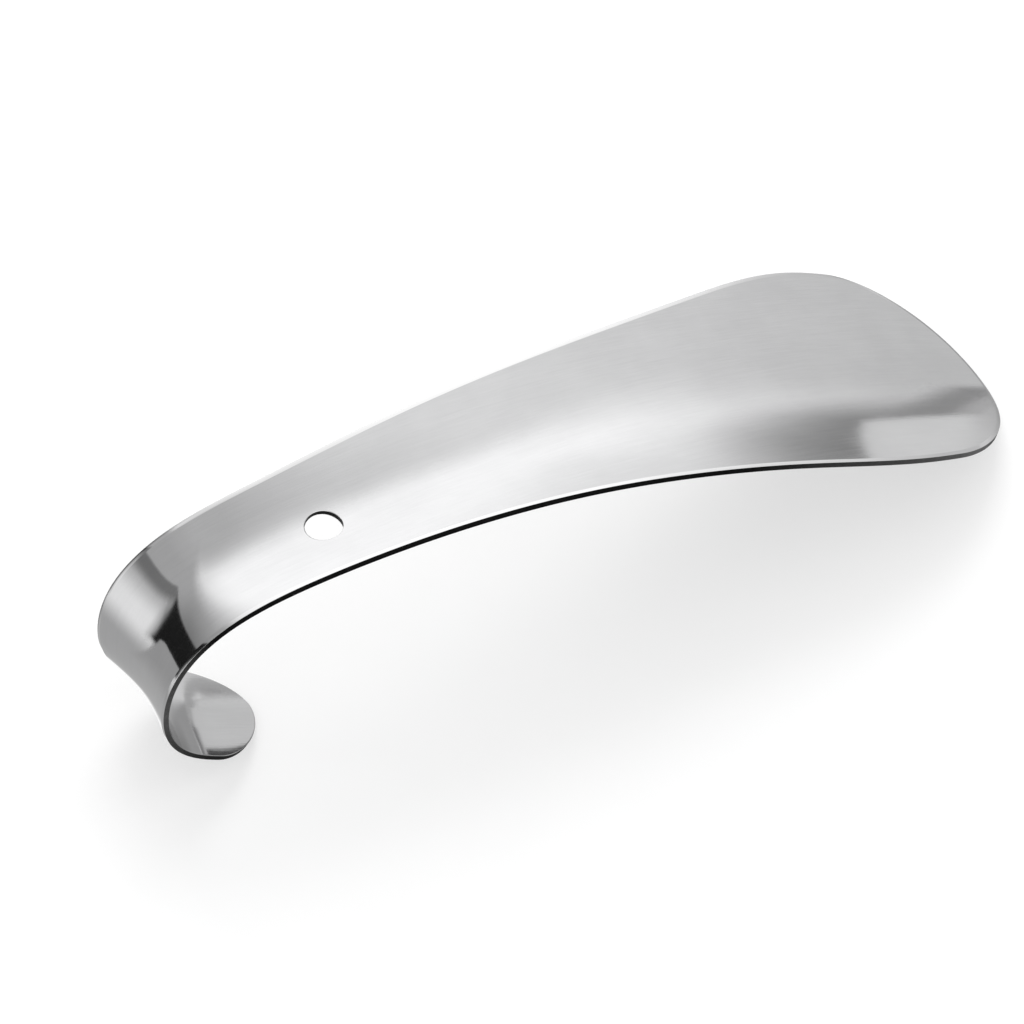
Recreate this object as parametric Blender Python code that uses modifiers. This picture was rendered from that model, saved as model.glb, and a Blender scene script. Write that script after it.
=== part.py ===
"""Short steel shoehorn with a curled hook: one blank of stainless sheet, dished, bent and punched.

The blank is symmetric about the plane Y = 0. It starts at the free lip of the hook, goes round the
curl, along the handle and down the blade, which widens into a rounded scoop. Every place on it has
a station, the distance from the lip end along the middle of the sheet. The part stands as it lies
on a table, dish upward, on the lip and on the end of the blade. Its origin is on the
table, under the middle of its length.
"""
import math

import bmesh
import bpy
import numpy as np
from mathutils import Matrix, Vector

OBJECT_NAME = "steel_shoehorn"
MM = 0.001

# Sheet and punched hole, mm.
SHEET_THICKNESS = 1.1
BLANK_LENGTH = 193.0
HOLE_DIAMETER = 6.0
HOLE_STATION = 69.0
EDGE_BREAK = 0.2                   # chamfer left on each cut edge by tumbling

# Heading of the sheet at a station: (mm, degrees). 0 is level towards the blade, 90 straight up.
BENDS = (
    (0, 151), (10, 149),                                            # lip, nearly straight
    (18, 132.5), (26, 98.5), (34, 68.5), (42, 34.5), (52, 9),       # curl
    (66, 0), (90, -4),                                              # handle
    (120, -11), (150, -21), (175, -27), (193, -31),                 # blade
)
# Half of the blank's width at a station, before its ends are rounded: (mm, mm).
HALF_WIDTHS = (
    (0, 10.0), (30, 10.65), (60, 11.1), (90, 13.1),
    (120, 16.1), (145, 19.8), (165, 22.2), (180, 20.3),
)
# Dish across the sheet: (mm, radius in mm of a round section that would be as deep).
DISH_RADII = ((0, 50), (25, 39), (50, 24), (85, 21), (125, 49), (160, 72), (185, 70))
FLANK_STRAIGHTNESS = 1.3           # the dish bends most at its middle; 0 would be round all over
# The rounded ends are quarters of a superellipse: length along the blank, and exponent.
LIP_END = (11.5, 1.8)
BLADE_END = (20.0, 2.0)

# Mesh.
ROWS_ALONG = 64
ROWS_ACROSS = 7                    # on one half
CENTRELINE_STEP = 0.25             # mm, for integrating the bends
BEND_CROWDING = 12.0               # mm of extra row length for each radian of bend
CORNER_ANGLE = math.radians(45)    # where a rounded end's outline turns from end row to side row
HOLE_SIDES = 48
CUTTER_DEPTH = 8.0
MERGE_DISTANCE = 0.00005
SETTLING_TURNS = 4

STEEL_COLOUR = (0.60, 0.60, 0.605, 1.0)
STEEL_ROUGHNESS = 0.18


def natural_spline(points):
    """Smooth curve through (position, value) points, straight at both ends, as a function."""
    x, y = np.array(points, float).T
    gaps = np.diff(x)
    slopes = np.diff(y) / gaps
    count = len(x)
    system = np.eye(count)
    right_side = np.zeros(count)
    for i in range(1, count - 1):
        system[i, i - 1:i + 2] = gaps[i - 1], 2 * (gaps[i - 1] + gaps[i]), gaps[i]
        right_side[i] = 6 * (slopes[i] - slopes[i - 1])
    bend = np.linalg.solve(system, right_side)

    def value(at):
        at = np.asarray(at, float)
        i = np.clip(np.searchsorted(x, at) - 1, 0, count - 2)
        gap = gaps[i]
        before = x[i + 1] - at
        after = at - x[i]
        cubic = (bend[i] * before ** 3 + bend[i + 1] * after ** 3) / (6 * gap)
        linear_before = (y[i] / gap - bend[i] * gap / 6) * before
        linear_after = (y[i + 1] / gap - bend[i + 1] * gap / 6) * after
        return cubic + linear_before + linear_after

    return value


def rounded_end(distance, end):
    """Share of the full width at a distance from a rounded end of the blank."""
    length, exponent = end
    inward = np.clip(np.asarray(distance, float) / length, 0, 1)
    return np.clip(1 - (1 - inward) ** exponent, 0, 1) ** (1 / exponent)


full_half_width = natural_spline(HALF_WIDTHS)
dish_curvature = natural_spline([(station, 1 / radius) for station, radius in DISH_RADII])
heading_degrees = natural_spline(BENDS)


def half_width(station):
    """Half of the blank's width, mm, rounded ends included."""
    rounding = rounded_end(station, LIP_END) * rounded_end(BLANK_LENGTH - station, BLADE_END)
    return full_half_width(station) * rounding


def dish_rise(station, across):
    """Height of the dish over the middle of the sheet, mm, at a distance across it."""
    width = full_half_width(station)
    depth = dish_curvature(station) * width ** 2 / 2
    flank = math.hypot(1, FLANK_STRAIGHTNESS * across / width)
    return depth * (flank - 1) / (math.hypot(1, FLANK_STRAIGHTNESS) - 1)


class Centreline:
    """The middle of the sheet in the XZ plane, from the lip end at (0, 0), level under its ends."""

    def __init__(self):
        steps = round(BLANK_LENGTH / CENTRELINE_STEP)
        self.station = np.linspace(0, BLANK_LENGTH, steps + 1)
        self.heading = np.radians(heading_degrees(self.station))
        self.x = self.running_sum(np.cos(self.heading))
        self.z = self.running_sum(np.sin(self.heading))
        for _ in range(SETTLING_TURNS):
            self.turn(self.tilt())

    def running_sum(self, slope):
        step = self.station[1] - self.station[0]
        return np.concatenate(([0.0], np.cumsum((slope[1:] + slope[:-1]) / 2) * step))

    def undersides(self):
        """Height of the lower face at each station."""
        return self.z - np.abs(np.cos(self.heading)) * SHEET_THICKNESS / 2

    def tilt(self):
        """Angle of the line under the lip and the blade end."""
        low = self.undersides()
        middle = len(low) // 2
        lip = int(np.argmin(low[:middle]))
        blade = middle + int(np.argmin(low[middle:]))
        return math.atan2(low[blade] - low[lip], self.x[blade] - self.x[lip])

    def turn(self, angle):
        cosine, sine = math.cos(angle), math.sin(angle)
        self.x, self.z = self.x * cosine + self.z * sine, self.z * cosine - self.x * sine
        self.heading = self.heading - angle

    def at(self, station):
        """Point and upward or outward normal of the sheet at a station, mm."""
        heading = np.interp(station, self.station, self.heading)
        x = np.interp(station, self.station, self.x)
        z = np.interp(station, self.station, self.z)
        return Vector((x, 0, z)), Vector((-math.sin(heading), 0, math.cos(heading)))


def sheet_point(centreline, station, across):
    """Point in the middle of the sheet's thickness, metres."""
    point, normal = centreline.at(station)
    rise = float(dish_rise(station, across))
    return (point + Vector((0, across, 0)) + normal * rise) * MM


def end_row_inset(share, end):
    """Distance in from a rounded end, mm, at a share of the way from its middle to its corner."""
    length, exponent = end
    angle = share * CORNER_ANGLE
    return length * (1 - math.cos(angle) ** (2 / exponent))


def stations_with_crowding(centreline):
    """Fraction of the row count to station, closer together where the sheet bends tightly."""
    turned = np.concatenate(([0.0], np.cumsum(np.abs(np.diff(centreline.heading)))))
    cost = centreline.station + BEND_CROWDING * turned
    return lambda fraction: float(np.interp(fraction * cost[-1], cost, centreline.station))


def blank_point(u, v, station_of):
    """Map a unit square onto half of the blank: u along it, v from its middle out to its edge."""
    lip_corner = end_row_inset(1, LIP_END)
    blade_corner = BLANK_LENGTH - end_row_inset(1, BLADE_END)
    middle = station_of(u)
    side = lip_corner + (blade_corner - lip_corner) * middle / BLANK_LENGTH
    lip = end_row_inset(v, LIP_END)
    blade = BLANK_LENGTH - end_row_inset(v, BLADE_END)
    station = (1 - v) * middle + v * side + (1 - u) * (lip - v * lip_corner)
    station += u * (blade - (1 - v) * BLANK_LENGTH - v * blade_corner)
    across = v * half_width(side)
    across += (1 - u) * (half_width(lip) - v * half_width(lip_corner))
    across += u * (half_width(blade) - v * half_width(blade_corner))
    return station, float(across)


def new_collection(name):
    collection = bpy.data.collections.new(name)
    bpy.context.scene.collection.children.link(collection)
    return collection


def add_object(name, mesh, collection):
    obj = bpy.data.objects.new(name, mesh)
    collection.objects.link(obj)
    return obj


def steel_material():
    material = bpy.data.materials.new("polished_steel")
    material.use_nodes = True
    shader = material.node_tree.nodes["Principled BSDF"]
    shader.inputs["Base Color"].default_value = STEEL_COLOUR
    shader.inputs["Metallic"].default_value = 1.0
    shader.inputs["Roughness"].default_value = STEEL_ROUGHNESS
    return material


def half_sheet(centreline):
    """Open mesh of one half of the bent and dished blank, with its middle on the plane Y = 0."""
    station_of = stations_with_crowding(centreline)
    mesh = bpy.data.meshes.new(OBJECT_NAME)
    bm = bmesh.new()
    bmesh.ops.create_grid(bm, x_segments=ROWS_ALONG, y_segments=ROWS_ACROSS, size=0.5)
    for vertex in bm.verts:
        station, across = blank_point(vertex.co.x + 0.5, vertex.co.y + 0.5, station_of)
        vertex.co = sheet_point(centreline, station, across)
    bm.to_mesh(mesh)
    bm.free()
    mesh.shade_smooth()
    return mesh


def hole_cutter(centreline, collection):
    """Round punch that stands square on the sheet at the hole."""
    mesh = bpy.data.meshes.new("hole_cutter")
    bm = bmesh.new()
    radius = HOLE_DIAMETER / 2 * MM
    bmesh.ops.create_cone(
        bm, cap_ends=True, segments=HOLE_SIDES, radius1=radius, radius2=radius, depth=CUTTER_DEPTH * MM)
    bm.to_mesh(mesh)
    bm.free()
    cutter = add_object("hole_cutter", mesh, collection)
    point, normal = centreline.at(HOLE_STATION)
    upright = Vector((0, 0, 1)).rotation_difference(normal).to_matrix().to_4x4()
    cutter.matrix_world = Matrix.Translation(point * MM) @ upright
    cutter.hide_render = True
    cutter.display_type = "WIRE"
    return cutter


def add_modifiers(sheet, cutter):
    mirror = sheet.modifiers.new("other half", "MIRROR")
    mirror.use_axis = (False, True, False)
    mirror.merge_threshold = MERGE_DISTANCE

    thickness = sheet.modifiers.new("sheet thickness", "SOLIDIFY")
    thickness.thickness = SHEET_THICKNESS * MM
    thickness.offset = 0
    thickness.use_even_offset = True

    hole = sheet.modifiers.new("hanging hole", "BOOLEAN")
    hole.operation = "DIFFERENCE"
    hole.solver = "EXACT"
    hole.object = cutter

    edges = sheet.modifiers.new("broken edges", "BEVEL")
    edges.width = EDGE_BREAK * MM
    edges.segments = 1
    edges.limit_method = "ANGLE"
    edges.angle_limit = math.radians(50)


def stand_on_origin(sheet, root):
    """Move the root so that the finished sheet is centred over the origin, with its lowest point at 0."""
    finished = sheet.evaluated_get(bpy.context.evaluated_depsgraph_get())
    corners = np.array([vertex.co for vertex in finished.data.vertices])
    low = corners.min(axis=0)
    high = corners.max(axis=0)
    root.location = (-(low[0] + high[0]) / 2, 0, -low[2])


def main():
    for obj in list(bpy.data.objects):
        bpy.data.objects.remove(obj)
    parts = new_collection(OBJECT_NAME)
    cutters = new_collection("cutters")
    centreline = Centreline()
    root = add_object("shoehorn_origin", None, parts)
    sheet = add_object(OBJECT_NAME, half_sheet(centreline), parts)
    sheet.data.materials.append(steel_material())
    cutter = hole_cutter(centreline, cutters)
    add_modifiers(sheet, cutter)
    sheet.parent = root
    cutter.parent = root
    stand_on_origin(sheet, root)


main()
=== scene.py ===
import math

import bpy
import numpy as np
from mathutils import Matrix, Vector


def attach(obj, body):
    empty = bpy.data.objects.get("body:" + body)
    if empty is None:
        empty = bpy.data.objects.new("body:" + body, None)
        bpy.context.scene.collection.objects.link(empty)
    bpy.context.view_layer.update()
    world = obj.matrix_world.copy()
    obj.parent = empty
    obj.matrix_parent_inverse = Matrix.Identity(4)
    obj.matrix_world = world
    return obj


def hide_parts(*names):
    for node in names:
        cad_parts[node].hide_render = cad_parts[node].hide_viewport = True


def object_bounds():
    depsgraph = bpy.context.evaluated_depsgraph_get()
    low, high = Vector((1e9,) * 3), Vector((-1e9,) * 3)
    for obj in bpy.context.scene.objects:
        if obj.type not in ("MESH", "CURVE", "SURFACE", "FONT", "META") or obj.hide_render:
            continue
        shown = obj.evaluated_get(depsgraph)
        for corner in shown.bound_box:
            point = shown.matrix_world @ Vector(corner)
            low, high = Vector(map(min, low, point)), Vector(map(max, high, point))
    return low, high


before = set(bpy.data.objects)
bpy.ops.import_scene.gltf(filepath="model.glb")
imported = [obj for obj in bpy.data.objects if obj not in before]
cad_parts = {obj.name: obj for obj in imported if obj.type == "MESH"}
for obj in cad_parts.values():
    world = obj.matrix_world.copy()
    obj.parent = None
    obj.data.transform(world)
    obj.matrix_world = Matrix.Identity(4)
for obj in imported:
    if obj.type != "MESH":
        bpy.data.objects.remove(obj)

# Looks of the steel shoehorn: the finished sheet as a fine mesh with rounded edges, brushed and
# polished steel, a white table, soft studio light and the camera. Everything is in metres, in the
# frame of the CAD model, except where a name or a comment says millimetres or degrees.

CAD_LOW, CAD_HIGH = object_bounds()
CAD_NODE = "steel_shoehorn"
BODY = "root"
MM = 0.001

# The sheet, as the CAD model defines it: distances in mm from the lip end along its middle.
BLANK_LENGTH = 193.0
SHEET_THICKNESS = 1.1
HOLE_RADIUS = 3.0
HOLE_STATION = 69.0
BENDS = (
    (0, 151), (10, 149),                                            # lip, nearly straight
    (18, 132.5), (26, 98.5), (34, 68.5), (42, 34.5), (52, 9),       # curl
    (66, 0), (90, -4),                                              # handle
    (120, -11), (150, -21), (175, -27), (193, -31),                 # blade
)
HALF_WIDTHS = (
    (0, 10.0), (30, 10.65), (60, 11.1), (90, 13.1),
    (120, 16.1), (145, 19.8), (165, 22.2), (180, 20.3),
)
DISH_RADII = ((0, 50), (25, 39), (50, 24), (85, 21), (125, 49), (160, 72), (185, 70))
FLANK_STRAIGHTNESS = 1.3           # the dish bends most at its middle
LIP_END = (11.5, 1.8)              # quarter of a superellipse: length in mm, exponent
BLADE_END = (20.0, 2.0)
CENTRELINE_STEP = 0.1              # mm
SETTLING_PASSES = 4                # turns of the sheet, until its lip and blade end stand level
BOX_STATIONS = 800                 # places along the sheet that its box is measured from
CORNER_ANGLE = math.radians(45)
BEND_CROWDING = 12.0               # mm of rows that each radian of bend adds

# Edges: a softened bevel on the upper face, a cut face, and a slight round below. Each bevel is a
# run of arcs: the slope that the arc ends at, in degrees, its radius in mm, and its steps.
OUTER_BEVEL = ((12, 0.15, 4), (16, 9.0, 4), (90, 0.05, 5))
HOLE_BEVEL = ((40, 0.18, 4), (90, 0.08, 4))
LOWER_ROUND, LOWER_STEPS = 0.18, 6
CUT_SLOPES = (55, 125)             # between these slopes, degrees, the edge is a raw cut face

# Light and shade painted on the edges, from 0 to 1, as (distance from the lip end, share): a
# painted highlight on the bevel, where it is also worn; painted light on the cut face; painted
# dark reflection on the far edge.
HANDLE_WEAR_AND_HIGHLIGHT = ((0, 0), (30, 0.4), (48, 0.2), (64, 1), (110, 1), (150, 0.3), (170, 0), (193, 0))
NEAR_HIGHLIGHT_SHARE = 0.36             # how bright the painted highlight on the near edge is, against the far edge
# Painted light on the cut face, by station.
CUT_PAINTED_LIGHT = (
    (0, 0), (14, 0), (22, 0.35), (30, 0.7), (38, 0.35), (44, 0), (135, 0), (160, 0.5), (174, 0.9),
    (180, 0.6), (184, 0), (193, 0))
# Painted dark reflection along the far edge, by station.
FAR_EDGE_DARK_REFLECTION = (
    (0, 0), (24, 0), (30, 0.6), (38, 1), (44, 0.8), (50, 0.3), (56, 0), (172, 0), (182, 0.3),
    (188, 0.6), (193, 0.7))
DARK_REFLECTION_SLOPE = 14.5                  # degrees; the far edge gets its painted dark reflection where it is steeper than this
HOLE_DARK_RIM = 0.3                     # mm; width of the hole's rim with painted dark reflection, on the side of the hook

# Mesh of the face: rows along the sheet, and rows on each side of its middle.
ROWS = 340
SIDE_ROWS = 22
HOLE_BLOCK = 5.6                   # half side, mm, of the square of rows laid out round the hole
HOLE_RINGS = 7
UV_PER_MM = 0.01                   # the UV map is the flat blank, its middle line at UV_MIDDLE
UV_MIDDLE = 0.5


# ---------------------------------------------------------------- shape of the sheet

def natural_spline(points):
    """Smooth curve through (position, value) points, straight at both ends, as a function."""
    x, y = np.array(points, float).T
    gaps = np.diff(x)
    slopes = np.diff(y) / gaps
    count = len(x)
    system = np.eye(count)
    right_side = np.zeros(count)
    for i in range(1, count - 1):
        system[i, i - 1:i + 2] = gaps[i - 1], 2 * (gaps[i - 1] + gaps[i]), gaps[i]
        right_side[i] = 6 * (slopes[i] - slopes[i - 1])
    bend = np.linalg.solve(system, right_side)

    def value(at):
        at = np.asarray(at, float)
        i = np.clip(np.searchsorted(x, at) - 1, 0, count - 2)
        gap = gaps[i]
        before = x[i + 1] - at
        after = at - x[i]
        cubic = (bend[i] * before ** 3 + bend[i + 1] * after ** 3) / (6 * gap)
        linear_before = (y[i] / gap - bend[i] * gap / 6) * before
        linear_after = (y[i + 1] / gap - bend[i + 1] * gap / 6) * after
        return cubic + linear_before + linear_after

    return value


heading_degrees = natural_spline(BENDS)
full_half_width = natural_spline(HALF_WIDTHS)
dish_curvature = natural_spline([(station, 1 / radius) for station, radius in DISH_RADII])


def rounded_end(distance, end):
    """Share of the full width at a distance from a rounded end of the blank."""
    length, exponent = end
    inward = np.clip(np.asarray(distance, float) / length, 0, 1)
    return np.clip(1 - (1 - inward) ** exponent, 0, 1) ** (1 / exponent)


def half_width(station):
    rounding = rounded_end(station, LIP_END) * rounded_end(BLANK_LENGTH - station, BLADE_END)
    return full_half_width(station) * rounding


def dish_rise(station, across):
    """Height of the dish over the middle of the sheet, at a distance across it."""
    width = full_half_width(station)
    depth = dish_curvature(station) * width ** 2 / 2
    flank = np.hypot(1, FLANK_STRAIGHTNESS * across / width)
    return depth * (flank - 1) / (np.hypot(1, FLANK_STRAIGHTNESS) - 1)


class Sheet:
    """The bent and dished sheet: maps (station, across, height), mm, to points and directions."""

    def __init__(self):
        steps = round(BLANK_LENGTH / CENTRELINE_STEP)
        self.station = np.linspace(0, BLANK_LENGTH, steps + 1)
        self.heading = np.radians(heading_degrees(self.station))
        self.x = self.running_sum(np.cos(self.heading))
        self.z = self.running_sum(np.sin(self.heading))
        for _ in range(SETTLING_PASSES):
            self.settle()
        self.place_in_cad_box()

    def running_sum(self, slope):
        return np.concatenate(([0.0], np.cumsum((slope[1:] + slope[:-1]) / 2) * CENTRELINE_STEP))

    def settle(self):
        """Turn the sheet so that its lip and its blade end stand on one level."""
        low = self.z - np.abs(np.cos(self.heading)) * SHEET_THICKNESS / 2
        middle = len(low) // 2
        lip = int(np.argmin(low[:middle]))
        blade = middle + int(np.argmin(low[middle:]))
        angle = math.atan2(low[blade] - low[lip], self.x[blade] - self.x[lip])
        cosine, sine = math.cos(angle), math.sin(angle)
        self.x, self.z = self.x * cosine + self.z * sine, self.z * cosine - self.x * sine
        self.heading = self.heading - angle

    def place_in_cad_box(self):
        """Centre the sheet over the CAD box and stand it on the box's floor."""
        along = np.linspace(0, BLANK_LENGTH, BOX_STATIONS)
        edge = half_width(along)
        faces = []
        for height in (-SHEET_THICKNESS / 2, SHEET_THICKNESS / 2):
            faces += [self.point(along, edge, height), self.point(along, edge * 0, height)]
        corners = np.concatenate(faces)
        low, high = corners.min(axis=0), corners.max(axis=0)
        self.x += (CAD_LOW.x + CAD_HIGH.x) / 2 / MM - (low[0] + high[0]) / 2
        self.z += CAD_LOW.z / MM - low[2]

    def middle_point(self, station, across):
        heading = np.interp(station, self.station, self.heading)
        rise = dish_rise(station, across)
        x = np.interp(station, self.station, self.x) - np.sin(heading) * rise
        z = np.interp(station, self.station, self.z) + np.cos(heading) * rise
        return np.stack([x, across + 0 * rise, z], axis=-1)

    def directions(self, station, across):
        """Unit vectors along the sheet, across it, and out of its upper face."""
        step = 0.02
        back = np.clip(station - step, 0, BLANK_LENGTH)
        ahead = np.clip(station + step, 0, BLANK_LENGTH)
        left, right = across + step, across - step
        along = self.middle_point(ahead, across) - self.middle_point(back, across)
        sideways = self.middle_point(station, left) - self.middle_point(station, right)
        along /= np.linalg.norm(along, axis=-1, keepdims=True)
        out = np.cross(along, sideways)
        out /= np.linalg.norm(out, axis=-1, keepdims=True)
        return along, np.cross(out, along), out

    def point(self, station, across, height):
        station = np.asarray(station, float)
        across = np.asarray(across, float)
        out = self.directions(station, across)[2]
        return self.middle_point(station, across) + out * np.asarray(height)[..., None]


# ---------------------------------------------------------------- layout on the flat blank

def unit(vectors):
    return vectors / np.linalg.norm(vectors, axis=-1, keepdims=True)


def end_outline(share, end):
    """Points of a rounded end, from its middle (0) to its corner (1): inward distance, across."""
    length, exponent = end
    angle = np.asarray(share, float) * CORNER_ANGLE
    inward = length * (1 - np.cos(angle) ** (2 / exponent))
    station = inward if end is LIP_END else BLANK_LENGTH - inward
    size = np.abs(np.sin(angle)) ** (2 / exponent)
    return np.stack([station, np.sign(angle) * full_half_width(station) * size], axis=-1)


def outward_normals(before, after):
    """Directions square to an outline that runs with the sheet on its right hand."""
    run = after - before
    return unit(np.stack([-run[..., 1], run[..., 0]], axis=-1))


def end_row(side_rows, end):
    """Outline points and outward directions of a rounded end, from across < 0 to across > 0."""
    share = np.linspace(-1, 1, 2 * side_rows + 1)
    nudge = 0.002
    normals = outward_normals(end_outline(share - nudge, end), end_outline(share + nudge, end))
    if end is BLADE_END:
        normals = -normals
    return end_outline(share, end), normals


def side_row(fractions):
    """Outline points and outward directions along the side where across > 0."""
    first = float(end_outline(1, LIP_END)[0])
    last = float(end_outline(1, BLADE_END)[0])
    station = first + (last - first) * fractions
    nudge = 0.02
    before = np.stack([station - nudge, half_width(station - nudge)], axis=-1)
    after = np.stack([station + nudge, half_width(station + nudge)], axis=-1)
    return np.stack([station, half_width(station)], axis=-1), outward_normals(before, after)


class Blank:
    """Grid of (station, across) points on the flat blank, inside the bevel of its edges."""

    def __init__(self, sheet):
        middle = self.crowded_stations(sheet)
        lip, self.lip_out = end_row(SIDE_ROWS, LIP_END)
        blade, self.blade_out = end_row(SIDE_ROWS, BLADE_END)
        side, self.side_out = side_row(middle / BLANK_LENGTH)
        self.side_out[0], self.side_out[-1] = self.lip_out[-1], self.blade_out[-1]
        inset = bevel_width(OUTER_BEVEL)
        lip = lip - self.lip_out * inset
        blade = blade - self.blade_out * inset
        side = side - self.side_out * inset
        middle = inset + middle * (BLANK_LENGTH - 2 * inset) / BLANK_LENGTH
        self.grid = self.fill(middle, side, lip, blade)

    @staticmethod
    def crowded_stations(sheet):
        """Stations of the rows, closer together where the sheet bends tightly."""
        turned = np.concatenate(([0.0], np.cumsum(np.abs(np.diff(sheet.heading)))))
        cost = sheet.station + BEND_CROWDING * turned
        return np.interp(np.linspace(0, cost[-1], ROWS + 1), cost, sheet.station)

    @staticmethod
    def fill(middle, side, lip, blade):
        """Spread rows between the middle line, the side and the two ends, on both halves."""
        u = np.linspace(0, 1, ROWS + 1)[:, None, None]
        v = np.abs(np.linspace(-1, 1, 2 * SIDE_ROWS + 1))[None, :, None]
        flip = np.sign(np.linspace(-1, 1, 2 * SIDE_ROWS + 1))
        middle = np.stack([middle, 0 * middle], axis=-1)[:, None, :]
        side = side[:, None, :]
        lip, blade = np.abs(lip)[None], np.abs(blade)[None]
        corners = (1 - u) * (1 - v) * middle[0] + u * (1 - v) * middle[-1]
        corners = corners + (1 - u) * v * side[0] + u * v * side[-1]
        grid = (1 - v) * middle + v * side + (1 - u) * lip + u * blade - corners
        grid[..., 1] *= flip[None, :]
        return grid


# ---------------------------------------------------------------- mesh of the finished sheet

def height_and_side(upper):
    """Height of a face over the middle of the sheet, and which way its normal goes."""
    return (SHEET_THICKNESS / 2, 1.0) if upper else (-SHEET_THICKNESS / 2, -1.0)


class MeshBuilder:
    """Collects vertices, with their normals, places on the blank and bevel marks, and faces."""

    def __init__(self, sheet):
        self.sheet = sheet
        self.points, self.normals, self.places, self.bevels = [], [], [], []
        self.faces, self.cuts = [], []
        self.count = 0

    def add(self, places, height, out_share, rim_share=0.0, rim_out=None, bevel=0.0):
        """Add points of the blank at a height; the normal leans from the face to the rim."""
        flat = np.asarray(places, float).reshape(-1, 2)
        along, sideways, out = self.sheet.directions(flat[:, 0], flat[:, 1])
        normal = out * out_share
        if rim_out is not None:
            lean = np.asarray(rim_out).reshape(-1, 2)
            normal = normal + rim_share * (along * lean[:, :1] + sideways * lean[:, 1:])
        self.points.append(self.sheet.point(flat[:, 0], flat[:, 1], np.full(len(flat), height)))
        self.normals.append(unit(normal))
        self.places.append(flat)
        self.bevels.append(np.full(len(flat), bevel))
        first = self.count
        self.count += len(flat)
        return np.arange(first, self.count).reshape(np.asarray(places).shape[:-1])

    def quads(self, a, b, c, d, cut=False):
        """Add four-sided faces from their corners' vertex numbers; cut ones are raw steel."""
        new = np.stack([np.ravel(k) for k in (a, b, c, d)], axis=-1)
        self.faces.append(new)
        self.cuts.append(np.full(len(new), cut))

    def patch(self, grid, upper):
        """Faces of a grid of vertex numbers; upper says which way round they run."""
        a, b, c, d = grid[:-1, :-1], grid[1:, :-1], grid[1:, 1:], grid[:-1, 1:]
        if upper:
            self.quads(a, b, c, d)
        else:
            self.quads(a, d, c, b)

    def ring_strip(self, ring, next_ring, cut=False):
        """Faces between two closed rings of vertex numbers, the next one being further round."""
        self.quads(ring, np.roll(ring, -1), np.roll(next_ring, -1), next_ring, cut)


def bevel_points(arcs):
    """Points of a bevel from the flat face outwards: distance out, drop, slope in radians."""
    out = drop = slope = 0.0
    points = [(out, drop, slope)]
    for end_degrees, radius, steps in arcs:
        end = math.radians(end_degrees)
        for step in range(1, steps + 1):
            angle = slope + (end - slope) * step / steps
            across = radius * (math.sin(angle) - math.sin(slope))
            down = radius * (math.cos(slope) - math.cos(angle))
            points.append((out + across, drop + down, angle))
        out, drop, slope = points[-1]
    return points


def bevel_width(arcs):
    return bevel_points(arcs)[-1][0]


def edge_profile(arcs):
    """Points round an edge from upper to lower face: distance out, height, slope."""
    half = SHEET_THICKNESS / 2
    width = bevel_width(arcs)
    profile = [(out, half - drop, slope) for out, drop, slope in bevel_points(arcs)]
    for step in range(LOWER_STEPS + 1):
        angle = math.pi / 2 * (1 + step / LOWER_STEPS)
        out = width - LOWER_ROUND * (1 - math.sin(angle))
        profile.append((out, -half + LOWER_ROUND * (1 + math.cos(angle)), angle))
    return profile + [(0.0, -half, math.pi)]


def grid_perimeter(grid):
    """The border of a grid, once round, along the last column first."""
    return np.concatenate([grid[:-1, -1], grid[-1, ::-1][:-1], grid[::-1, 0][:-1], grid[0, :-1]])


def bevel_mark(slope):
    """Mark of a vertex: 0 off the upper bevel, 1 on it, 2 where it is steeper than DARK_REFLECTION_SLOPE."""
    if not 0 < slope < math.pi / 2:
        return 0.0
    return 2.0 if slope > math.radians(DARK_REFLECTION_SLOPE) else 1.0


def sew_edge(builder, top, bottom, inner_places, outward, profile):
    """Carry an edge from a ring on the upper face round to a ring on the lower face."""
    ring = top
    for (_, _, slope_before), (out, height, slope) in zip(profile, profile[1:]):
        if slope == math.pi and out == 0.0:
            next_ring = bottom
        else:
            next_ring = builder.add(
                inner_places + outward * out, height,
                math.cos(slope), math.sin(slope), outward, bevel_mark(slope))
        cut = CUT_SLOPES[0] < math.degrees(slope_before + slope) / 2 < CUT_SLOPES[1]
        builder.ring_strip(ring, next_ring, cut)
        ring = next_ring


def face_grids(builder, blank, block):
    """Both faces of the sheet, less the block of rows round the hole."""
    first_row, last_row, first_side, last_side = block
    grids = []
    for upper in (True, False):
        grid = builder.add(blank.grid, *height_and_side(upper))
        for rows, sides in (
            (slice(0, first_row + 1), slice(None)),
            (slice(last_row, None), slice(None)),
            (slice(first_row, last_row + 1), slice(0, first_side + 1)),
            (slice(first_row, last_row + 1), slice(last_side, None)),
        ):
            builder.patch(grid[rows, sides], upper)
        grids.append(grid)
    return grids


def hole_block(blank):
    """First and last row, and first and last side row, of the square round the hole."""
    middle = blank.grid[:, SIDE_ROWS, 0]
    first_row = int(np.searchsorted(middle, HOLE_STATION - HOLE_BLOCK))
    last_row = int(np.searchsorted(middle, HOLE_STATION + HOLE_BLOCK))
    across = blank.grid[(first_row + last_row) // 2, :, 1]
    first_side = int(np.searchsorted(across, -HOLE_BLOCK))
    return first_row, last_row, first_side, 2 * SIDE_ROWS - first_side


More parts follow.
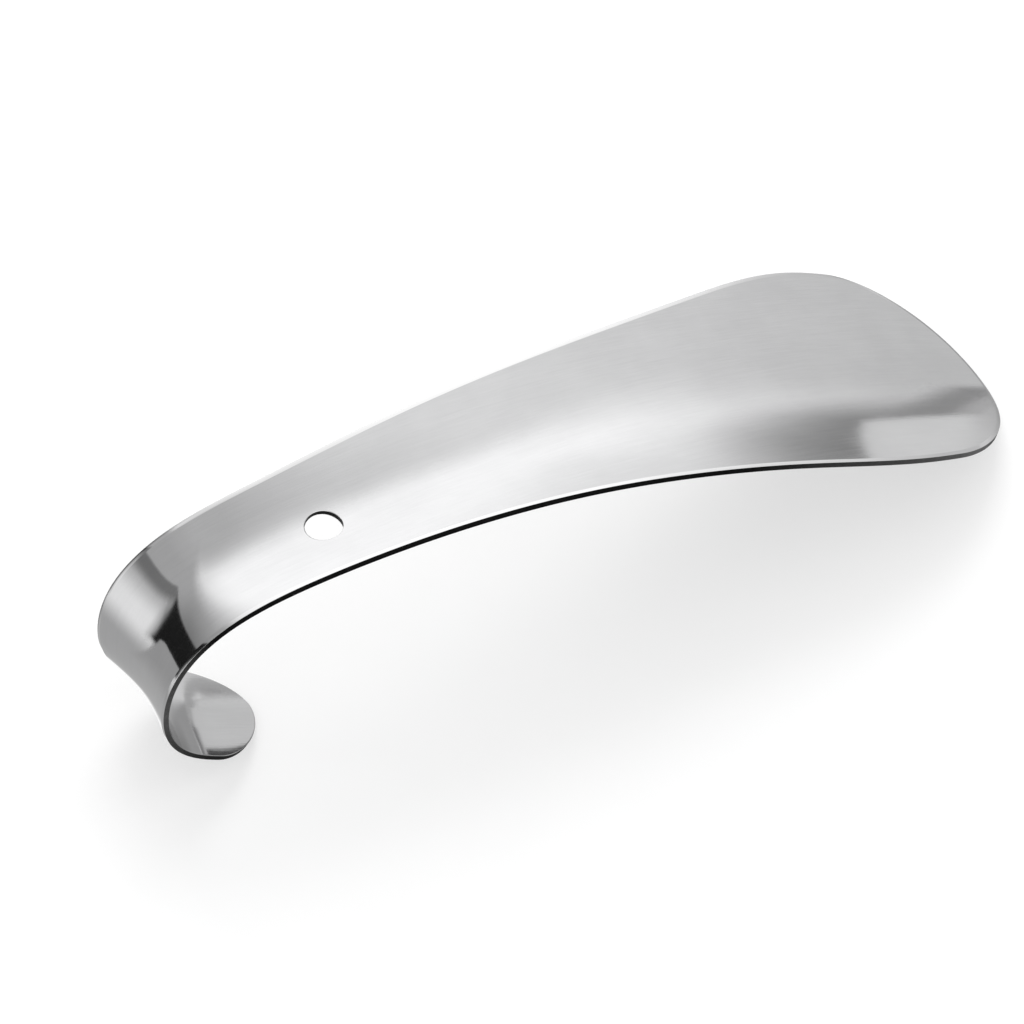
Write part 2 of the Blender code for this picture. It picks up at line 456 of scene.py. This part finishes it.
def add_hole(builder, blank, grids, block):
    """Rings of faces that turn the square opening into the round hole, and the hole's wall."""
    first_row, last_row, first_side, last_side = block
    rows, sides = slice(first_row, last_row + 1), slice(first_side, last_side + 1)
    square = grid_perimeter(blank.grid[rows, sides])
    centre = np.array([HOLE_STATION, 0.0])
    inward = unit(centre - square)
    circle = centre - inward * (HOLE_RADIUS + bevel_width(HOLE_BEVEL))
    rims = []
    for grid, upper in zip(grids, (True, False)):
        ring = grid_perimeter(grid[rows, sides])
        for step in range(1, HOLE_RINGS + 1):
            places = square + (circle - square) * (step / HOLE_RINGS)
            next_ring = builder.add(places, *height_and_side(upper))
            if upper:
                builder.ring_strip(ring[::-1], next_ring[::-1])
            else:
                builder.ring_strip(ring, next_ring)
            ring = next_ring
        rims.append(ring)
    profile = edge_profile(HOLE_BEVEL)
    sew_edge(builder, rims[0][::-1], rims[1][::-1], circle[::-1], inward[::-1], profile)


def outer_ring(blank):
    """Inner places and outward directions once round the blank, as grid_perimeter goes."""
    grid = blank.grid
    out = np.zeros_like(grid)
    out[:, -1] = blank.side_out
    out[:, 0] = blank.side_out * (1, -1)
    out[0] = blank.lip_out
    out[-1] = blank.blade_out
    return grid_perimeter(grid), grid_perimeter(out)


def build_sheet():
    sheet = Sheet()
    blank = Blank(sheet)
    builder = MeshBuilder(sheet)
    block = hole_block(blank)
    grids = face_grids(builder, blank, block)
    add_hole(builder, blank, grids, block)
    places, outward = outer_ring(blank)
    top, bottom = (grid_perimeter(grid) for grid in grids)
    profile = edge_profile(OUTER_BEVEL)
    sew_edge(builder, top, bottom, places, outward, profile)
    return finished_mesh(builder)


def at_stations(table, places):
    """Value of a table of (station, value) at each place."""
    return np.interp(places[:, 0], *zip(*table))


def bevel_highlight_share(bevels, places):
    """Painted highlight on each worn vertex: only on the bevel, and less on the near side."""
    worn = np.minimum(bevels, 1.0) * at_stations(HANDLE_WEAR_AND_HIGHLIGHT, places)
    return worn * np.where(places[:, 1] > 0, 1.0, NEAR_HIGHLIGHT_SHARE)


def dark_reflection_share(bevels, places):
    """Painted dark reflection on each vertex: on the steep part of the far bevel, and round the
    hole.
    """
    far_edge = np.maximum(bevels - 1.0, 0.0) * (places[:, 1] > 0)
    far_edge = far_edge * at_stations(FAR_EDGE_DARK_REFLECTION, places)
    from_hole = places - (HOLE_STATION, 0.0)
    at_hole = np.hypot(*from_hole.T) < HOLE_RADIUS + HOLE_DARK_RIM
    towards_hook = np.clip(-from_hole[:, 0] / HOLE_RADIUS, 0, 1)
    return far_edge + at_hole * np.minimum(bevels, 1.0) * towards_hook


def finished_mesh(builder):
    """Blender mesh with the true normals of the rolled sheet, and a UV map of the flat blank."""
    faces = np.concatenate(builder.faces)
    used = np.zeros(builder.count, bool)
    used[faces] = True
    faces = (np.cumsum(used) - 1)[faces]
    points = np.concatenate(builder.points)[used] * MM
    normals = np.concatenate(builder.normals)[used]
    places = np.concatenate(builder.places)[used]
    bevels = np.concatenate(builder.bevels)[used]
    mesh = bpy.data.meshes.new("shoehorn_sheet")
    mesh.from_pydata(points.tolist(), [], faces.tolist())
    uv = mesh.uv_layers.new(name="blank")
    loop_vertices = np.zeros(len(mesh.loops), np.int32)
    mesh.loops.foreach_get("vertex_index", loop_vertices)
    uv.data.foreach_set("uv", (places[loop_vertices] * UV_PER_MM + (0, UV_MIDDLE)).ravel())
    for name, shares in (
        ("wear_highlight", bevel_highlight_share(bevels, places)),
        ("cut_lit_share", at_stations(CUT_PAINTED_LIGHT, places)),
        ("dark_reflection", dark_reflection_share(bevels, places)),
    ):
        mesh.attributes.new(name, "FLOAT", "POINT").data.foreach_set("value", shares)
    mesh.polygons.foreach_set("material_index", np.concatenate(builder.cuts).astype(np.int32))
    mesh.shade_smooth()
    mesh.update()
    mesh.normals_split_custom_set_from_vertices(normals.tolist())
    return mesh


# ---------------------------------------------------------------- materials

# A pair of colours or of roughnesses is what a pattern goes between. Pattern scales are per metre,
# or, on the blank, per 100 mm along it and across it. Bump heights are in metres.
STEEL_COLOURS = ((0.57, 0.57, 0.575), (0.62, 0.62, 0.625))
# Painted highlight: a brighter base colour where the bevel is worn.
WORN_HIGHLIGHT_COLOUR = (0.82, 0.82, 0.82)
# Painted dark reflection on the far edge and round the hole.
DARK_REFLECTION_COLOUR = (0.22, 0.22, 0.22)
STEEL_ROUGHNESS = (0.05, 0.10)
WORN_SMOOTHNESS = 0.5              # how much of the roughness is rubbed away where worn
CLOUD_SCALE = 90.0
WAVE_SCALE, WAVE_BUMP = 55.0, 3e-5
FINE_BRUSH, COARSE_BRUSH = (16, 480, 1), (7, 110, 1)
BRUSH_BUMP = 3e-6
# The raw cut's own dark colour, darkened to near black as painted shade; the lit pair is painted
# light on the cut face.
CUT_AND_SHADE_COLOURS = ((0.004, 0.004, 0.004), (0.014, 0.014, 0.014))
CUT_LIT_COLOURS = ((0.13, 0.13, 0.13), (0.19, 0.19, 0.19))
CUT_ROUGHNESS = (0.35, 0.5)
CUT_METALLIC, CUT_SPECULAR = 0.5, 0.1
GRAIN_SCALE, GRAIN_BUMP = 1400.0, 1e-5
TABLE_COLOURS = ((0.46, 0.46, 0.46), (0.48, 0.48, 0.48))
TABLE_PATTERN_SCALE = 60.0
TABLE_ROUGHNESS = 0.9
TABLE_GLOW = 0.5


class Nodes:
    """Short way to make and link shader nodes in one material."""

    def __init__(self, name):
        self.material = bpy.data.materials.new(name)
        self.material.use_nodes = True
        self.tree = self.material.node_tree
        self.shader = self.tree.nodes["Principled BSDF"]

    def node(self, kind, **settings):
        made = self.tree.nodes.new("ShaderNode" + kind)
        for key, value in settings.items():
            setattr(made, key, value)
        return made

    def link(self, source, target):
        self.tree.links.new(source, target)

    def math(self, operation, first, second):
        made = self.node("Math", operation=operation)
        for socket, value in zip(made.inputs, (first, second)):
            self.feed(socket, value)
        return made.outputs[0]

    def feed(self, socket, value):
        if isinstance(value, (int, float)):
            socket.default_value = value
        else:
            self.link(value, socket)

    def blend(self, first, second, share):
        """Share of the first value plus the rest of the second."""
        first_part = self.math("MULTIPLY", first, share)
        return self.math("ADD", first_part, self.math("MULTIPLY", second, 1 - share))

    def attribute(self, name):
        return self.node("Attribute", attribute_name=name).outputs["Fac"]

    def mixed(self, share, first, second):
        """Mix of two colours, each an output or three numbers."""
        made = self.node("MixRGB")
        for socket, value in zip(made.inputs, (share, first, second)):
            if isinstance(value, tuple):
                socket.default_value = (*value, 1)
            else:
                self.link(value, socket)
        return made.outputs[0]

    def uv(self, scale):
        """Place on the flat blank, scaled."""
        place = self.node("UVMap", uv_map="blank")
        mapping = self.node("Mapping")
        mapping.inputs["Scale"].default_value = scale
        self.link(place.outputs["UV"], mapping.inputs["Vector"])
        return mapping.outputs["Vector"]

    def noise(self, vector, scale, detail=3.0, roughness=0.55):
        made = self.node("TexNoise")
        made.inputs["Scale"].default_value = scale
        made.inputs["Detail"].default_value = detail
        made.inputs["Roughness"].default_value = roughness
        self.link(vector, made.inputs["Vector"])
        return made.outputs["Fac"]

    def spread(self, value, low, high, from_low=0.3, from_high=0.7):
        """Smooth step from low to high as the value goes over its range."""
        made = self.node("MapRange", interpolation_type="SMOOTHSTEP")
        made.inputs["From Min"].default_value = from_low
        made.inputs["From Max"].default_value = from_high
        made.inputs["To Min"].default_value = low
        made.inputs["To Max"].default_value = high
        self.link(value, made.inputs["Value"])
        return made.outputs["Result"]

    def bump(self, height, distance, after=None):
        made = self.node("Bump")
        made.inputs["Strength"].default_value = 1.0
        made.inputs["Distance"].default_value = distance
        self.link(height, made.inputs["Height"])
        if after is not None:
            self.link(after, made.inputs["Normal"])
        return made.outputs["Normal"]


def brushed_noise(m):
    """Streaks along the sheet, fine ones over coarse ones."""
    fine = m.noise(m.uv(FINE_BRUSH), 1.0, detail=2.0)
    coarse = m.noise(m.uv(COARSE_BRUSH), 1.0)
    return m.blend(fine, coarse, 0.6)


def face_steel():
    """Stainless sheet, brushed along it and polished, with a painted highlight on the worn bevel
    and painted dark reflection on the far edge and round the hole.
    """
    m = Nodes("face_steel")
    place = m.node("TexCoord").outputs["Object"]
    cloud = m.noise(place, CLOUD_SCALE)
    wave = m.noise(place, WAVE_SCALE, detail=1.0, roughness=0.3)
    brushed = brushed_noise(m)
    wear_highlight = m.attribute("wear_highlight")

    tint = m.mixed(m.spread(m.blend(cloud, brushed, 0.5), 0, 1), *STEEL_COLOURS)
    # Painted light in the colour: a highlight on the worn bevel, and a dark reflection on the far
    # edge and round the hole.
    colour = m.mixed(m.attribute("dark_reflection"), m.mixed(wear_highlight, tint, WORN_HIGHLIGHT_COLOUR), DARK_REFLECTION_COLOUR)
    m.link(colour, m.shader.inputs["Base Color"])

    left_rough = m.math("SUBTRACT", 1.0, m.math("MULTIPLY", wear_highlight, WORN_SMOOTHNESS))
    rough = m.spread(m.blend(cloud, brushed, 0.4), *STEEL_ROUGHNESS)
    m.link(m.math("MULTIPLY", rough, left_rough), m.shader.inputs["Roughness"])
    wavy = m.bump(wave, WAVE_BUMP)
    m.link(m.bump(brushed, BRUSH_BUMP, after=wavy), m.shader.inputs["Normal"])
    m.shader.inputs["Metallic"].default_value = 1.0
    return m.material


def cut_steel():
    """Raw sheared edge: dark and rough, darkened to near black as painted shade, and lighter at
    the curl and the blade's end as painted light.
    """
    m = Nodes("cut_steel")
    grain = m.noise(m.node("TexCoord").outputs["Object"], GRAIN_SCALE)
    raw = m.mixed(grain, *CUT_AND_SHADE_COLOURS)
    lit_cut = m.mixed(grain, *CUT_LIT_COLOURS)
    m.link(m.mixed(m.attribute("cut_lit_share"), raw, lit_cut), m.shader.inputs["Base Color"])
    m.link(m.spread(grain, *CUT_ROUGHNESS), m.shader.inputs["Roughness"])
    m.link(m.bump(grain, GRAIN_BUMP), m.shader.inputs["Normal"])
    m.shader.inputs["Metallic"].default_value = CUT_METALLIC
    m.shader.inputs["Specular IOR Level"].default_value = CUT_SPECULAR
    return m.material


def white_table():
    """White matt light table, which glows a little."""
    m = Nodes("white_table")
    pattern = m.noise(m.node("TexCoord").outputs["Object"], TABLE_PATTERN_SCALE, detail=4.0)
    m.link(m.mixed(pattern, *TABLE_COLOURS), m.shader.inputs["Base Color"])
    m.shader.inputs["Emission Color"].default_value = (1, 1, 1, 1)
    m.shader.inputs["Emission Strength"].default_value = TABLE_GLOW
    m.shader.inputs["Roughness"].default_value = TABLE_ROUGHNESS
    m.shader.inputs["Specular IOR Level"].default_value = 0.0
    return m.material


# ---------------------------------------------------------------- studio

# Reflection cards: seen only in the steel. Each has its brightness, its corners as directions in
# degrees (azimuth from +X towards +Y, elevation), and how much of it fades at each side.
# Corners: lower right, lower left, upper left, upper right. Fades: right, left, bottom, top.
# The far cards stand round the middle of the frame, each one in front of those before it.
FAR_CARDS = (
    ("tent", 1.10, ((-180, -90), (180, -90), (180, 90), (-180, 90)), (0, 0, 0, 0)),
    ("far_grey", 0.80, ((-90, -60), (62, -60), (70, 58), (-90, 58)), (0.2, 0.15, 0, 0.45)),
    ("back_light", 1.52, ((46, -30), (86, -30), (122, 75), (8, 75)), (0.35, 0.28, 0, 0.3)),
    ("zenith", 0.66, ((-180, 59), (180, 59), (180, 90), (-180, 90)), (0, 0, 0.75, 0)),
    ("side_light_grey", 0.56, ((68, -10), (230, -10), (230, 90), (123, 90)), (0.15, 0, 0.1, 0.2)),
    ("side_grey", 0.28, ((92, -20), (142, -20), (150, 58), (105, 58)), (0.45, 0.1, 0, 0.6)),
    ("left_light", 1.18, ((146, -30), (230, -30), (230, 46), (142, 46)), (0.12, 0.1, 0.1, 0.45)),
    ("upper_band", 0.24, ((129, 36), (200, 34), (200, 56), (141, 56)), (0.04, 0.1, 0.6, 0.12)),
    ("table_left", 0.55, ((70, -90), (230, -90), (230, 6), (104, 0)), (0.1, 0.1, 0.3, 0.33)),
    ("black_flag", 0.015,
     ((116, -13), (149, -4), (139.5, 54), (112.5, 7)), (0.06, 0.18, 0.1, 0.1)),
    ("table_hill", 0.45, ((83, -40), (151, -40), (138, 3), (134.5, 3)), (0.06, 0.12, 0.5, 0.05)),
    ("far_shade", 1.08, ((38, -12), (74, -12), (66, 34), (38, 34)), (0.3, 0.5, 0, 0.75)),
    ("far_dark", 0.34, ((35.5, -9), (57.5, -9), (50.5, 22), (38, 22)), (0.4, 0.45, 0.0, 0.65)),
    ("horizon", 0.40, ((20, -3.5), (44, -3.5), (44, 4), (20, 4)), (0.1, 0.1, 0.15, 0.6)),
    ("tip_light", 0.79, ((27, -5), (35.8, -5), (35.8, 8), (27, 8)), (0.1, 0.2, 0.1, 0.3)),
    ("front_dark", 0.02, ((-125, -85), (-15, -85), (-15, 30), (-125, 30)), (0.2, 0.2, 0.1, 0.2)),
)
CARD_DISTANCE = 2.6                # metres, of the first far card
CARD_STEP = 0.08                   # metres, that each next one is nearer
CARD_COLUMNS, CARD_ROWS = 32, 16   # faces of a card's mesh

# Near cards, whose reflection moves more from place to place: the point that each one stands
# round, its distance from the point in metres, and then the same as for a far card.
BLADE_POINT = Vector((0.045, -0.014, 0.018))
HOOK_POINT = Vector((-0.0655, -0.009, 0.0058))
NEAR_CARDS = (
    (BLADE_POINT, 0.65, "far_table", 0.92,
     ((38.4, -14), (70, -14), (62, -7.4), (44.6, 3.0)), (0.02, 0, 0, 0.04)),
    (BLADE_POINT, 0.64, "far_table_low", 0.92,
     ((18, -16), (44, -16), (44, -7.0), (18, 1.5)), (0.02, 0.1, 0, 0.06)),
    (HOOK_POINT, 0.10, "hook_horizon", 0.54,
     ((28, -0.9), (56, -3.0), (56, 0.3), (28, 3.0)), (0.3, 0.1, 0.12, 0.35)),
    (HOOK_POINT, 0.098, "hook_horizon_dark", 0.26,
     ((20, -0.6), (36, -1.4), (36, 2.0), (20, 2.4)), (0, 0.6, 0.2, 0.5)),
    (HOOK_POINT, 0.06, "handle_underside", 0.08,
     ((4, 0), (23.9, 4), (21.2, 17), (0, 19)), (0.1, 0.03, 0.1, 0.1)),
)

# Shade on the table under the handle, which also only the steel shows. Each has its height over
# the table in metres, its brightness, its corners as (x, y) in metres, and its fades: the left,
# right, near and far side.
SHADE_CORNERS = ((-0.066, -0.030), (0.140, -0.030), (0.140, 0.154), (-0.066, 0.008))
DEEP_SHADE_CORNERS = ((-0.070, -0.030), (-0.026, -0.030), (-0.026, 0.026), (-0.070, 0.004))
SHADES = (
    ("handle_shade", 0.0003, 0.44, SHADE_CORNERS, (0.05, 0.4, 0.1, 0.32)),
    ("hook_shade", 0.0004, 0.25, DEEP_SHADE_CORNERS, (0.05, 0.8, 0.1, 0.45)),
)

WORLD_BRIGHTNESS = 0.97            # of the white world, which lights the table
TABLE_SIZE = 6.0                   # metres
KEY_AZIMUTH, KEY_ELEVATION = 62, 48     # degrees, as for the cards
KEY_DISTANCE, KEY_SIZE = 1.2, 0.7       # metres
KEY_POWER = 6.0                         # watts


def direction(azimuth, elevation):
    """Unit vector from an azimuth and an elevation in degrees."""
    a, e = math.radians(azimuth), math.radians(elevation)
    return Vector((math.cos(a) * math.cos(e), math.sin(a) * math.cos(e), math.sin(e)))


def facing(location, target):
    """Turn of a light at a location that makes it shine on a target."""
    return (target - location).to_track_quat("-Z", "Y")


def card_material(name, brightness, fades):
    """Glowing card whose sides fade to nothing."""
    m = Nodes(name)
    m.tree.nodes.remove(m.shader)
    place = m.node("SeparateXYZ")
    m.link(m.node("TexCoord").outputs["UV"], place.inputs[0])
    mask = None
    for axis, (low_fade, high_fade) in enumerate((fades[:2], fades[2:])):
        for value, fade in (
            (place.outputs[axis], low_fade),
            (m.math("SUBTRACT", 1.0, place.outputs[axis]), high_fade),
        ):
            if fade:
                side = m.spread(value, 0.0, 1.0, 0.0, fade)
                mask = side if mask is None else m.math("MULTIPLY", mask, side)
    glow = m.node("Emission")
    glow.inputs["Strength"].default_value = brightness
    mix = m.node("MixShader")
    m.feed(mix.inputs[0], 1.0 if mask is None else mask)
    m.link(m.node("BsdfTransparent").outputs[0], mix.inputs[1])
    m.link(glow.outputs[0], mix.inputs[2])
    m.link(mix.outputs[0], m.tree.nodes["Material Output"].inputs["Surface"])
    return m.material


def add_glossy_only(name, points, faces, places, brightness, fades):
    """Glowing surface that only the steel sees; places are its UV coordinates."""
    mesh = bpy.data.meshes.new(name)
    mesh.from_pydata(points, [], faces)
    uv = mesh.uv_layers.new(name="card")
    for loop in mesh.loops:
        uv.data[loop.index].uv = places[loop.vertex_index]
    mesh.materials.append(card_material(name, brightness, fades))
    card = bpy.data.objects.new(name, mesh)
    bpy.context.scene.collection.objects.link(card)
    card.visible_camera = False
    card.visible_diffuse = False
    card.visible_transmission = False
    card.visible_volume_scatter = False
    card.visible_shadow = False


def add_card(centre, distance, name, brightness, corners, fades):
    """Curved card at a constant distance from a point, so that its place is a direction."""
    right_low, left_low, left_high, right_high = np.array(corners, float)
    points, faces, places = [], [], []
    for j in range(CARD_ROWS + 1):
        for i in range(CARD_COLUMNS + 1):
            across, up = i / CARD_COLUMNS, j / CARD_ROWS
            low = right_low + (left_low - right_low) * across
            high = right_high + (left_high - right_high) * across
            places.append((across, up))
            points.append(centre + distance * direction(*(low + (high - low) * up)))
    for j in range(CARD_ROWS):
        for i in range(CARD_COLUMNS):
            k = j * (CARD_COLUMNS + 1) + i
            faces.append((k, k + 1, k + CARD_COLUMNS + 2, k + CARD_COLUMNS + 1))
    add_glossy_only(name, points, faces, places, brightness, fades)


def add_cards():
    for index, card in enumerate(FAR_CARDS):
        add_card(Vector((0, 0, 0)), CARD_DISTANCE - index * CARD_STEP, *card)
    for point, distance, *card in NEAR_CARDS:
        add_card(point, distance, *card)


def add_shade_under_handle():
    places = ((0, 0), (1, 0), (1, 1), (0, 1))
    for name, height, brightness, corners, fades in SHADES:
        points = [(x, y, CAD_LOW.z + height) for x, y in corners]
        add_glossy_only(name, points, [(0, 1, 2, 3)], places, brightness, fades)


def add_table():
    mesh = bpy.data.meshes.new("table")
    half = TABLE_SIZE / 2
    corners = [(-half, -half), (half, -half), (half, half), (-half, half)]
    mesh.from_pydata([(x, y, CAD_LOW.z) for x, y in corners], [], [(0, 1, 2, 3)])
    mesh.materials.append(white_table())
    table = bpy.data.objects.new("table", mesh)
    bpy.context.scene.collection.objects.link(table)
    table.visible_glossy = False


def add_key_light(target):
    light = bpy.data.lights.new("key_light", "AREA")
    light.energy = KEY_POWER
    light.size = KEY_SIZE
    key = bpy.data.objects.new("key_light", light)
    key.location = target + KEY_DISTANCE * direction(KEY_AZIMUTH, KEY_ELEVATION)
    key.rotation_mode = "QUATERNION"
    key.rotation_quaternion = facing(key.location, target)
    key.visible_camera = False
    key.visible_glossy = False
    bpy.context.scene.collection.objects.link(key)


def add_world():
    world = bpy.data.worlds.new("studio")
    world.use_nodes = True
    background = world.node_tree.nodes["Background"]
    background.inputs["Color"].default_value = (1, 1, 1, 1)
    background.inputs["Strength"].default_value = WORLD_BRIGHTNESS
    bpy.context.scene.world = world


# ---------------------------------------------------------------- camera

CAMERA_AZIMUTH = -28.56            # degrees; 0 looks along +Y
CAMERA_ELEVATION = 50.07
CAMERA_ROLL = -1.46
CAMERA_DISTANCE = 2.481            # metres from its target
CAMERA_LENS, CAMERA_SENSOR = 562.8, 36.0     # mm
CAMERA_RANGE = (0.1, 20.0)         # metres that it sees between
CAMERA_TARGET = (-0.00954, -0.00207, 0.02179)


def add_camera():
    a, e = math.radians(CAMERA_AZIMUTH), math.radians(CAMERA_ELEVATION)
    back = Vector((math.sin(a) * math.cos(e), -math.cos(a) * math.cos(e), math.sin(e)))
    right = Vector((math.cos(a), math.sin(a), 0))
    up = back.cross(right)
    roll = Matrix.Rotation(math.radians(CAMERA_ROLL), 3, "Z")
    turn = Matrix((right, up, back)).transposed() @ roll
    data = bpy.data.cameras.new("camera")
    data.lens = CAMERA_LENS
    data.sensor_width = CAMERA_SENSOR
    data.clip_start, data.clip_end = CAMERA_RANGE
    camera = bpy.data.objects.new("camera", data)
    place = Vector(CAMERA_TARGET) + back * CAMERA_DISTANCE
    camera.matrix_world = Matrix.Translation(place) @ turn.to_4x4()
    bpy.context.scene.collection.objects.link(camera)
    bpy.context.scene.camera = camera


# ---------------------------------------------------------------- scene

def add_shoehorn():
    mesh = build_sheet()
    mesh.materials.append(face_steel())
    mesh.materials.append(cut_steel())
    piece = bpy.data.objects.new("shoehorn_sheet", mesh)
    bpy.context.scene.collection.objects.link(piece)
    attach(piece, BODY)
    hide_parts(CAD_NODE)


def main():
    bpy.context.scene.view_settings.view_transform = "Standard"
    add_camera()
    add_world()
    add_table()
    add_key_light((CAD_LOW + CAD_HIGH) / 2)
    add_cards()
    add_shade_under_handle()
    add_shoehorn()


main()
